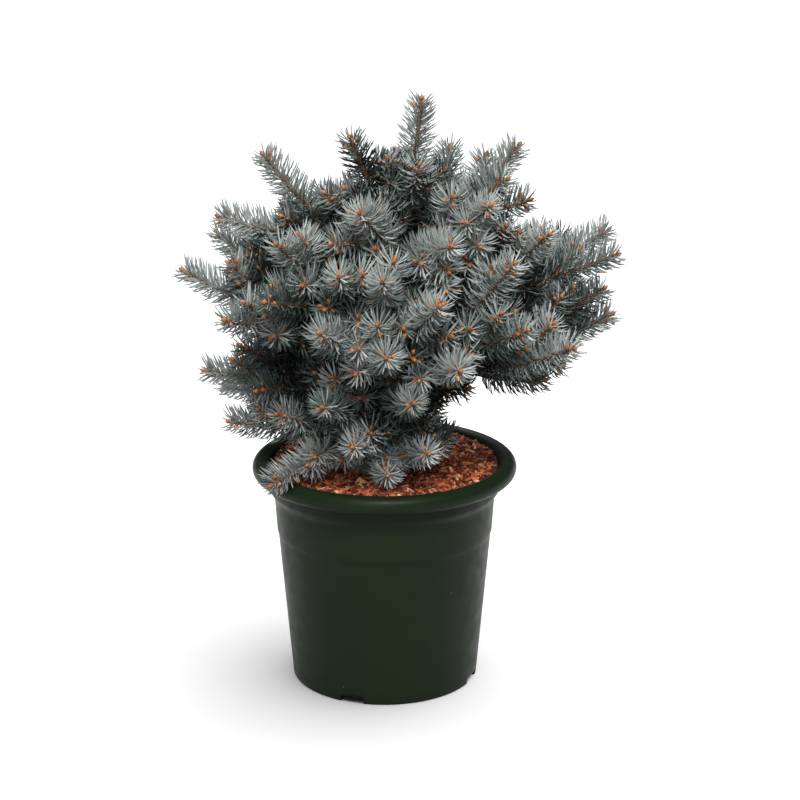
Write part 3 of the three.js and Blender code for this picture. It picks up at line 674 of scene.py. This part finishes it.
# A side shoot leaves its twig at an angle and turns forward, along it.
def sideCurve(stem, share, length, turn, spread, forward):
    start, heading = pointAt(stem, share), headingAt(stem, share)
    away = branchOff(heading, spread, turn)
    onward = unit(away + heading * forward)
    return np.array([start, start + away * length / 2, start + onward * length])


# A twig: its curve, its mass's number, the share at its foot that is bare, how far it is from the stem in
# branchings, and its straight pieces.
def makeTwig(curve, number, bare, order, steps):
    pieces = piecesOf(curve, steps)
    return {"curve": curve, "number": number, "bare": bare, "order": order, "pieces": pieces}


# A throw of a die as a shift to either side, of half the spread at most.
def shift(throws, spread):
    return spread * (next(throws) - 0.5)


# Whether all points keep a distance from all the other twigs.
def farFrom(points, others, distance):
    if not others:
        return True
    return (distancesTo(np.concatenate([twig["pieces"] for twig in others]), points) > distance).all()


# Side shoots leave each stem in turn, by throws of its own dice. One that would come too near a limb, the pot
# or another twig is turned further round, and is left out if no turn will do.
def growSideShoots(twigs):
    for number in range(len(masses)):
        throws, stem = throwsOf(number + 1), twigs[number]["curve"]
        limit = shortReach.get(masses[number]["name"], side["reach"]) * np.linalg.norm(stem[2] - crownHeart)
        firstTurn = 360 * next(throws)
        own, others = [], [twig for twig in twigs if twig["number"] != number]
        for i in range(side["count"]):
            share = side["firstNode"] + side["nodeStep"] * i + shift(throws, side["nodeJitter"])
            free = (1 - share) * lengthOf(stem)
            wanted = side["lengthShare"] * free + side["lengthMore"] + shift(throws, side["lengthJitter"])
            length = min(max(wanted, side["shortest"]), side["longest"])
            firstTry = firstTurn + i * side["turnStep"] + shift(throws, side["turnJitter"])
            for attempt in range(side["tries"]):
                turn = math.radians(firstTry + attempt * side["tryStep"])
                curve = sideCurve(stem, share, length * side["tryLength"] ** attempt, turn,
                                  side["spread"], side["forward"])
                points = pointAt(curve, np.linspace(0, 1, 6))[2:]  # without the foot, which is on the stem
                if (np.linalg.norm(curve[2] - crownHeart) <= limit
                        and clearOfPot(points, shoot["fromPot"] + shoot["brushRadius"]).all()
                        and clearOfLimbs(points, side["fromLimb"]).all()
                        and farFrom(points, own, side["ownApart"])
                        and farFrom(points, others, side["apart"])):
                    own.append(makeTwig(curve, number, shoot["bareSide"], 1, side["steps"]))
                    break
        twigs += own


# Finer shoots fill the room that is left between the twigs, from the parents given. They stay well inside the
# reach of their mass's own tip, so that the leading shoots stand free of them. In the skirt's front they fill
# nearly the whole reach.
def growFineShoots(twigs, parents):
    for parent in parents:
        throws = throwsOf(fine["firstSeed"] + len(twigs))
        length = lengthOf(parent["curve"])
        mass = masses[parent["number"]]
        reach = fine["skirtReach" if mass["name"].startswith("skirt_front") else "reach"]
        limit = reach * np.linalg.norm(mass["tip"] - crownHeart)
        firstTry = 360 * next(throws)
        others = np.concatenate([twig["pieces"] for twig in twigs if twig is not parent])
        away = np.linalg.norm(others[:, 0] - parent["curve"][0], axis=1)
        others = others[away < length + 2 * fine["longest"]]
        for share in np.arange(fine["firstNode"], fine["lastNode"], fine["nodeEvery"] / length):
            firstTry += side["turnStep"]
            wanted = (fine["lengthShare"] * (1 - share) * length + fine["lengthMore"]
                      + shift(throws, fine["lengthJitter"]))
            wanted = min(max(wanted, fine["shortest"]), fine["longest"])
            for attempt in range(fine["tries"]):
                turn = math.radians(firstTry + attempt * fine["tryStep"])
                curve = sideCurve(parent["curve"], share, wanted, turn, fine["spread"], fine["forward"])
                points = pointAt(curve, np.array(fine["tested"]))
                if (np.linalg.norm(curve[2] - crownHeart) < limit
                        and clearOfPot(points, fine["fromPot"]).all()
                        and clearOfLimbs(points, fine["fromLimb"]).all()
                        and (distancesTo(others, points) > fine["apart"]).all()):
                    order = parent["order"] + 1
                    twigs.append(makeTwig(curve, parent["number"], fine["bare"], order, fine["steps"]))
                    others = np.concatenate([others, twigs[-1]["pieces"]])
                    break


# The twigs in the order of their growth: the stems, their side shoots, then the fine shoots, which leave the
# stems and side shoots, then the limbs, and at last the fine shoots themselves. Those of a limb belong to the
# last mass that it carries.
twigs = [makeTwig(growStem(mass), number, shoot["bareStem"], 0, shoot["steps"])
         for number, mass in enumerate(masses)]
growSideShoots(twigs)
print("side shoots:", len(twigs) - len(masses))
mainCount = len(twigs)
carried = {mass["on"]: number for number, mass in enumerate(masses)}
growFineShoots(twigs, list(twigs))
growFineShoots(twigs, [makeTwig(limb["curve"], carried[limb["name"]], 0, 0, limbSteps) for limb in limbs])
growFineShoots(twigs, twigs[mainCount:])
print("fine shoots:", len(twigs) - mainCount)

twigCurves = np.array([twig["curve"] for twig in twigs])
twigOrders = np.array([twig["order"] for twig in twigs])
twigNumbers = np.array([twig["number"] for twig in twigs])
twigLengths = np.array([lengthOf(curve) for curve in twigCurves])
twigBare = np.array([twig["bare"] for twig in twigs])
# The radii are those of the stems, the side shoots and the fine shoots.
wood = {"sides": 6, "rows": 10, "footRadius": (3.0, 2.4, 1.5), "tipRadius": (2.3, 1.9, 1.1), "knobs": 0.16}


# The twigs' skins, all on one grid of twig, share along and angle round. Little pegs that the needles stand
# on make the radius uneven.
def makeTwigs(name, chosen, material):
    random = np.random.default_rng(5)
    curves, order = twigCurves[chosen][:, None], np.minimum(twigOrders[chosen], 2)
    share = np.linspace(0, 1, wood["rows"])
    centre, heading = pointAt(curves, share), headingAt(curves, share)
    normal, across = squareTo(heading, upperSide(heading[:, :1]))
    foot, tip = np.array(wood["footRadius"])[order], np.array(wood["tipRadius"])[order]
    radius = mix(foot[:, None], tip[:, None], share)[..., None]
    pegs = random.uniform(1 - wood["knobs"], 1 + wood["knobs"], radius.shape[:2] + (wood["sides"],))
    ring = ringOf(normal, across, wood["sides"])
    points = (centre[:, :, None] + (radius * pegs)[..., None] * ring).reshape(len(curves), -1, 3)
    ends = np.stack([centre[:, 0], centre[:, -1] + heading[:, -1] * tip[:, None]], 1)
    faceSets = skinFaces(wood["rows"], wood["sides"])
    piece = putCopies(name, np.concatenate([points, ends], 1), faceSets, material)
    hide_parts(*massNodes)


makeTwigs("twigs_older", np.flatnonzero(twigOrders == 0),
          scalyBark("olderTwigBark", "#58301f", "#a07050", 2.4))
makeTwigs("twigs_young", np.flatnonzero(twigOrders > 0),
          scalyBark("youngTwigBark", "#6c3826", "#b97a4c", 1.8))


bud = {
    "length": 9.0, "radius": 2.7, "sides": 5,
    "rows": (0.25, 0.3, 0.7, 0.98, 0.86, 0.45), "lastRow": 0.86,  # radii from the foot up, as shares
    "endSize": 1.0, "fineSize": 0.45,
    "ringCount": 4, "ringShare": 0.68, "ringSize": (0.8, 1.1), "ringTurn": 0.5, "splay": math.radians(64),
    "offset": 2.4, "back": (1.0, 6.0),
    "sideShares": (0.4, 0.53, 0.66, 0.78, 0.88), "sideShare": 0.7, "sideSize": (0.45, 0.7),
    "sideShift": 0.04, "sideOffset": 0.6, "sideRise": 0.6, "sideLean": 1.2,
}


# Buds: eggs with a pointed tip, a profile of six radii carried along each bud's axis. A shoot ends in one bud
# with a ring of others splayed round it, up to four.
def makeBuds():
    random = np.random.default_rng(7)
    tip, heading = twigCurves[:, 2], headingAt(twigCurves, 1)
    foots, axes = [tip], [heading]
    sizes = [np.where(twigOrders > 1, bud["fineSize"], bud["endSize"])]
    up, across = squareTo(heading, upperSide(heading))
    for i in range(bud["ringCount"]):
        turn = random.uniform(-bud["ringTurn"], bud["ringTurn"], len(tip)) + i * twoPi / bud["ringCount"]
        splayed = np.cos(turn)[:, None] * up + np.sin(turn)[:, None] * across
        keep = (twigOrders < 2) & (random.uniform(0, 1, len(tip)) < bud["ringShare"])
        axis = math.cos(bud["splay"]) * heading + math.sin(bud["splay"]) * splayed
        back = random.uniform(*bud["back"], len(tip))[:, None]
        foots.append((tip - heading * back + bud["offset"] * splayed)[keep])
        axes.append(axis[keep])
        sizes.append(random.uniform(*bud["ringSize"], keep.sum()))
    # Single buds along the shoots, first on one side and then on the other.
    for i, share in enumerate(bud["sideShares"]):
        keep = (twigOrders < 2) & (random.uniform(0, 1, len(tip)) < bud["sideShare"])
        at = share + random.uniform(-bud["sideShift"], bud["sideShift"], keep.sum())
        onward = headingAt(twigCurves[keep], at)
        above = upperSide(onward)
        sideways = unit(np.cross(onward, above) * (-1) ** i + bud["sideRise"] * above)
        foots.append(pointAt(twigCurves[keep], at) + bud["sideOffset"] * bud["offset"] * sideways)
        axes.append(unit(onward + bud["sideLean"] * sideways))
        sizes.append(random.uniform(*bud["sideSize"], keep.sum()))
    foot, axis, size = np.concatenate(foots), np.concatenate(axes), np.concatenate(sizes)
    ring = ringOf(*squareTo(axis, upperSide(axis)), bud["sides"])
    # Each row's distance along the axis and radius, for a grid of bud, row and side.
    along = (np.linspace(0.0, bud["lastRow"], len(bud["rows"])) * bud["length"])[:, None, None]
    radius = (np.array(bud["rows"]) * bud["radius"])[:, None, None]
    scale = size[:, None, None, None]
    rings = foot[:, None, None] + axis[:, None, None] * along * scale + ring[:, None] * radius * scale
    ends = np.stack([foot, foot + axis * bud["length"] * size[:, None]], 1)
    points = np.concatenate([rings.reshape(len(foot), -1, 3), ends], 1)
    faceSets = skinFaces(len(bud["rows"]), bud["sides"])
    piece = putCopies("buds", points, faceSets, paperyBudScale())
    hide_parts(*massNodes)


makeBuds()


needle = {
    "perMillimetre": (2.8, 2.4, 1.4), "length": 27.0, "fineLength": 21.5, "radius": 0.84, "footWidth": 0.8,
    "footOut": 0.8, "bendShare": 0.7, "leanAtFoot": math.radians(68), "leanAtTip": math.radians(50),
    "leanPower": 2.5, "leanJitter": 0.1, "turnJitter": 0.12, "lift": 0.34, "forward": 0.22,
    # Length: the share that it has at the twig's foot and how fast it grows on, what it loses at the tip,
    # what it gains on the upper side, and its spread.
    "footShare": 0.7, "growth": 2.2, "tipLoss": 0.24, "upperGain": 0.12, "lengthSpread": (0.86, 1.08),
    "fromLimb": 0.6, "fromPot": 1.0, "fromTwig": 1.6, "mostInPiece": 18000,
}


# Needles stand round each twig in a spiral. One leaves the twig at an angle that closes towards the tip, and
# is drawn to the upper side. It bends forward beyond its middle. Three sides, thickest at the bend, run to a
# point.
def growNeedles():
    random = np.random.default_rng(3)
    order = np.minimum(twigOrders, 2)
    counts = (twigLengths * (1 - twigBare) * np.array(needle["perMillimetre"])[order]).astype(int)
    owner = np.repeat(np.arange(len(twigs)), counts)
    count, bare = len(owner), twigBare[owner]
    index = np.arange(count) - (np.cumsum(counts) - counts)[owner]
    share = bare + (1 - bare) * (index + random.uniform(0, 1, count)) / counts[owner]
    curves = twigCurves[owner]
    centre, heading = pointAt(curves, share), headingAt(curves, share)
    normal, across = squareTo(heading, upperSide(headingAt(curves, np.zeros(count))))
    turn = index * goldenTurn + random.normal(0, needle["turnJitter"], count)
    outward = np.cos(turn)[:, None] * normal + np.sin(turn)[:, None] * across
    up = np.array([0.0, 0.0, 1.0]) - heading * heading[:, 2:]
    lean = (mix(needle["leanAtFoot"], needle["leanAtTip"], share ** needle["leanPower"])
            + random.normal(0, needle["leanJitter"], count))[:, None]
    start = unit(np.cos(lean) * heading + np.sin(lean) * outward + needle["lift"] * 0.5 * up)
    finish = unit(start + needle["forward"] * heading + needle["lift"] * up)
    longest = np.where(order[owner] == 2, needle["fineLength"], needle["length"])
    inner = (share - bare) / (1 - bare)
    profile = (np.minimum(1, needle["footShare"] + needle["growth"] * inner)
               * (1 - needle["tipLoss"] * inner ** 4))
    gain = 1 + needle["upperGain"] * outward[:, 2]
    length = (longest * profile * gain * random.uniform(*needle["lengthSpread"], count))[:, None]
    foot = centre + outward * needle["footOut"]
    middle = foot + start * length * needle["bendShare"]
    point = middle + finish * length * (1 - needle["bendShare"])
    return owner, foot, middle, point, start, finish


# A needle is kept if it is clear of the pot and the limbs, and doesn't reach another mass's twig.
def keptNeedles(owner, middle, point):
    keep = clearOfPot(middle, needle["fromPot"]) & clearOfPot(point, needle["fromPot"])
    for number in range(len(masses)):
        mine = np.flatnonzero(keep & (twigNumbers[owner] == number))
        own = np.concatenate([twig["pieces"] for twig in twigs if twig["number"] == number])
        others = np.concatenate([twig["pieces"] for twig in twigs if twig["number"] != number])
        others = others[distancesTo(own, others[:, 0]).min(1) < 2 * needle["length"]]
        near = distancesTo(others, point[mine]).min(1) < needle["fromTwig"]
        keep[mine[near | ~clearOfLimbs(point[mine], needle["fromLimb"])]] = False
    return keep


# A needle's seven points: three round its foot, three round its bend, and its tip.
def needlePoints(foot, middle, point, start, finish):
    sideways = unit(np.cross(start, finish) + 1e-6)
    ring = ringOf(sideways, np.cross(start, sideways), 3)
    low = foot[:, None] + needle["footWidth"] * needle["radius"] * ring
    high = middle[:, None] + needle["radius"] * ring
    return np.concatenate([low, high, point[:, None]], 1)


needleQuads = np.array([[0, 1, 4, 3], [1, 2, 5, 4], [2, 0, 3, 5]])
needleTriangles = np.array([[3, 4, 6], [4, 5, 6], [5, 3, 6], [0, 2, 1]])
# The tints, from the frosted shoots at the crown's outside to the green ones in its shade: name, share of the
# needles, shade and bloom. They are partly the needles' own colour, frosted new growth outside and greener
# old needles within, and partly painted light and shade: the pale tints are painted light on the outer,
# higher needles, and the dark ones, the deepest most of all, are painted shade in the crown's interior.
needleTintsAndPaintedShade = [
    ("frosted", 0.13, "#a0a7a4", "#b8bebb"),
    ("silverBlue", 0.16, "#828a87", "#99a09d"),
    ("blueGrey", 0.16, "#586562", "#707b78"),
    ("blueGreen", 0.17, "#35413d", "#4a5651"),
    # the darkest tint, nearly black, is painted shade for the crown's interior
    ("deepGreenPaintedShade", 0.38, "#151a18", "#232927"),
]
tintingAndPaintedShade = {
    "reach": (262.0, 205.0, 190.0),  # half the crown's size
    "paintedTopLight": 0.0012,  # what a millimetre above the heart adds, painted light from above
    "perTwig": 0.12, "finePaintedShade": 0.4,  # fine shoots count as further in and get darker tints, painted shade for the others' shade that they grow in
    "stray": (0.25, 0.5, 0.25),  # chances of the tint before, the tint itself and the tint after
}


# A needle's score for its tint: how far out and how high its foot is, with some chance for each twig. A low
# score deals a darker tint, which is painted shade in the crown's interior, and the height adds painted light
# on its top.
def tintAndPaintedShadeScores(owner, foot):
    random = np.random.default_rng(13)
    out = np.linalg.norm((foot - crownHeart) / np.array(tintingAndPaintedShade["reach"]), axis=1)
    perTwig = random.normal(0, tintingAndPaintedShade["perTwig"], len(twigs)) - tintingAndPaintedShade["finePaintedShade"] * (twigOrders > 1)
    return out + tintingAndPaintedShade["paintedTopLight"] * np.maximum(foot[:, 2] - crownHeart[2], 0) + perTwig[owner]


# Deals the tints out by score, with their painted light and shade, and puts the needles of each into pieces
# of their own.
def makeNeedles():
    grown = growNeedles()
    keep = keptNeedles(grown[0], grown[2], grown[3])
    owner, foot, middle, point, start, finish = [values[keep] for values in grown]
    points = needlePoints(foot, middle, point, start, finish)
    print("needles:", len(points), "of", len(keep))
    score = tintAndPaintedShadeScores(owner, foot)
    limits = np.quantile(-score, np.cumsum([share for _, share, _, _ in needleTintsAndPaintedShade])[:-1])
    stray = np.random.default_rng(17).choice([-1, 0, 1], len(score), p=tintingAndPaintedShade["stray"])
    tints = np.clip(np.searchsorted(limits, -score) + stray, 0, len(needleTintsAndPaintedShade) - 1)
    for tint, (name, _, shade, bloom) in enumerate(needleTintsAndPaintedShade):
        material = waxyNeedle(name + "Needle", shade, bloom)
        chosen = points[tints == tint]
        # A tint with very many needles is shared out over two pieces or more.
        pieces = math.ceil(len(chosen) / needle["mostInPiece"])
        for number, some in enumerate(np.array_split(chosen, pieces)):
            piece = putCopies(f"needles_{name}_{number + 1}", some, [needleQuads, needleTriangles],
                              material, smooth=False)
            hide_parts(*massNodes)


makeNeedles()


studio = {
    "cameraPlace": (16.4, -2127.6, 943.7), "cameraPitch": 16.73, "lens": 95.04, "sensor": 36.0,
    "clipEnd": 100000.0, "floorSize": 60000.0, "skyStrength": 0.12,
}


# The camera, the paper floor, the sky and the lamps.
def makeStudio():
    scene = bpy.context.scene
    scene.view_settings.view_transform = "Standard"
    camera = bpy.data.objects.new("camera", bpy.data.cameras.new("camera"))
    camera.data.lens, camera.data.sensor_width = studio["lens"], studio["sensor"]
    camera.location = [value / metre for value in studio["cameraPlace"]]
    camera.rotation_euler = (math.radians(90 - studio["cameraPitch"]), 0, 0)
    camera.data.clip_end = studio["clipEnd"] / metre
    scene.collection.objects.link(camera)
    scene.camera = camera

    floorCollection = bpy.data.collections.new("floor")
    scene.collection.children.link(floorCollection)
    half = studio["floorSize"] / 2 / metre
    corners = [(-half, -half, 0), (half, -half, 0), (half, half, 0), (-half, half, 0)]
    floorMesh = bpy.data.meshes.new("studio_floor")
    floorMesh.from_pydata(corners, [], [(0, 1, 2, 3)])
    paper, _, shader = newMaterial("paperFloor", 0.9)
    shader.inputs["Base Color"].default_value = linearColour("#fcfcfc")
    floorMesh.materials.append(paper)
    floor = bpy.data.objects.new("studio_floor", floorMesh)
    floorCollection.objects.link(floor)
    floor.visible_diffuse = False  # the paper's light from below would wash out the crown's shade

    world = bpy.data.worlds.new("studio")
    world.use_nodes = True
    world.node_tree.nodes["Background"].inputs["Color"].default_value = (1, 1, 1, 1)
    world.node_tree.nodes["Background"].inputs["Strength"].default_value = studio["skyStrength"]
    scene.world = world

    # Distant lamps: name, what it lights, the direction that it shines from, the width of its disc in degrees
    # and its strength. The paper has a lamp of its own, so that it stays white round the plant, and the mulch
    # has one that fills its shade.
    lamps = [
        ("key", plantCollection, (0.1, -1.0, 1.3), 16, 3.1),
        ("top", plantCollection, (-0.1, 0.75, 1.3), 30, 2.5),
        ("front", plantCollection, (-0.2, -1.4, 0.8), 50, 1.2),
        ("mulch", mulchCollection, (0.3, -1.2, 1.3), 110, 0.34),
        ("paper", floorCollection, (0.4, 0.12, 1.7), 85, 4.6),
    ]
    for name, lit, place, width, strength in lamps:
        lamp = bpy.data.lights.new(name, "SUN")
        lamp.angle, lamp.energy = math.radians(width), strength
        sun = bpy.data.objects.new(name, lamp)
        sun.location = place
        flat = math.hypot(place[0], place[1])
        sun.rotation_euler = (math.atan2(flat, place[2]), 0, math.atan2(place[0], -place[1]))
        sun.light_linking.receiver_collection = lit
        scene.collection.objects.link(sun)


makeStudio()

bpy.context.view_layer.update()
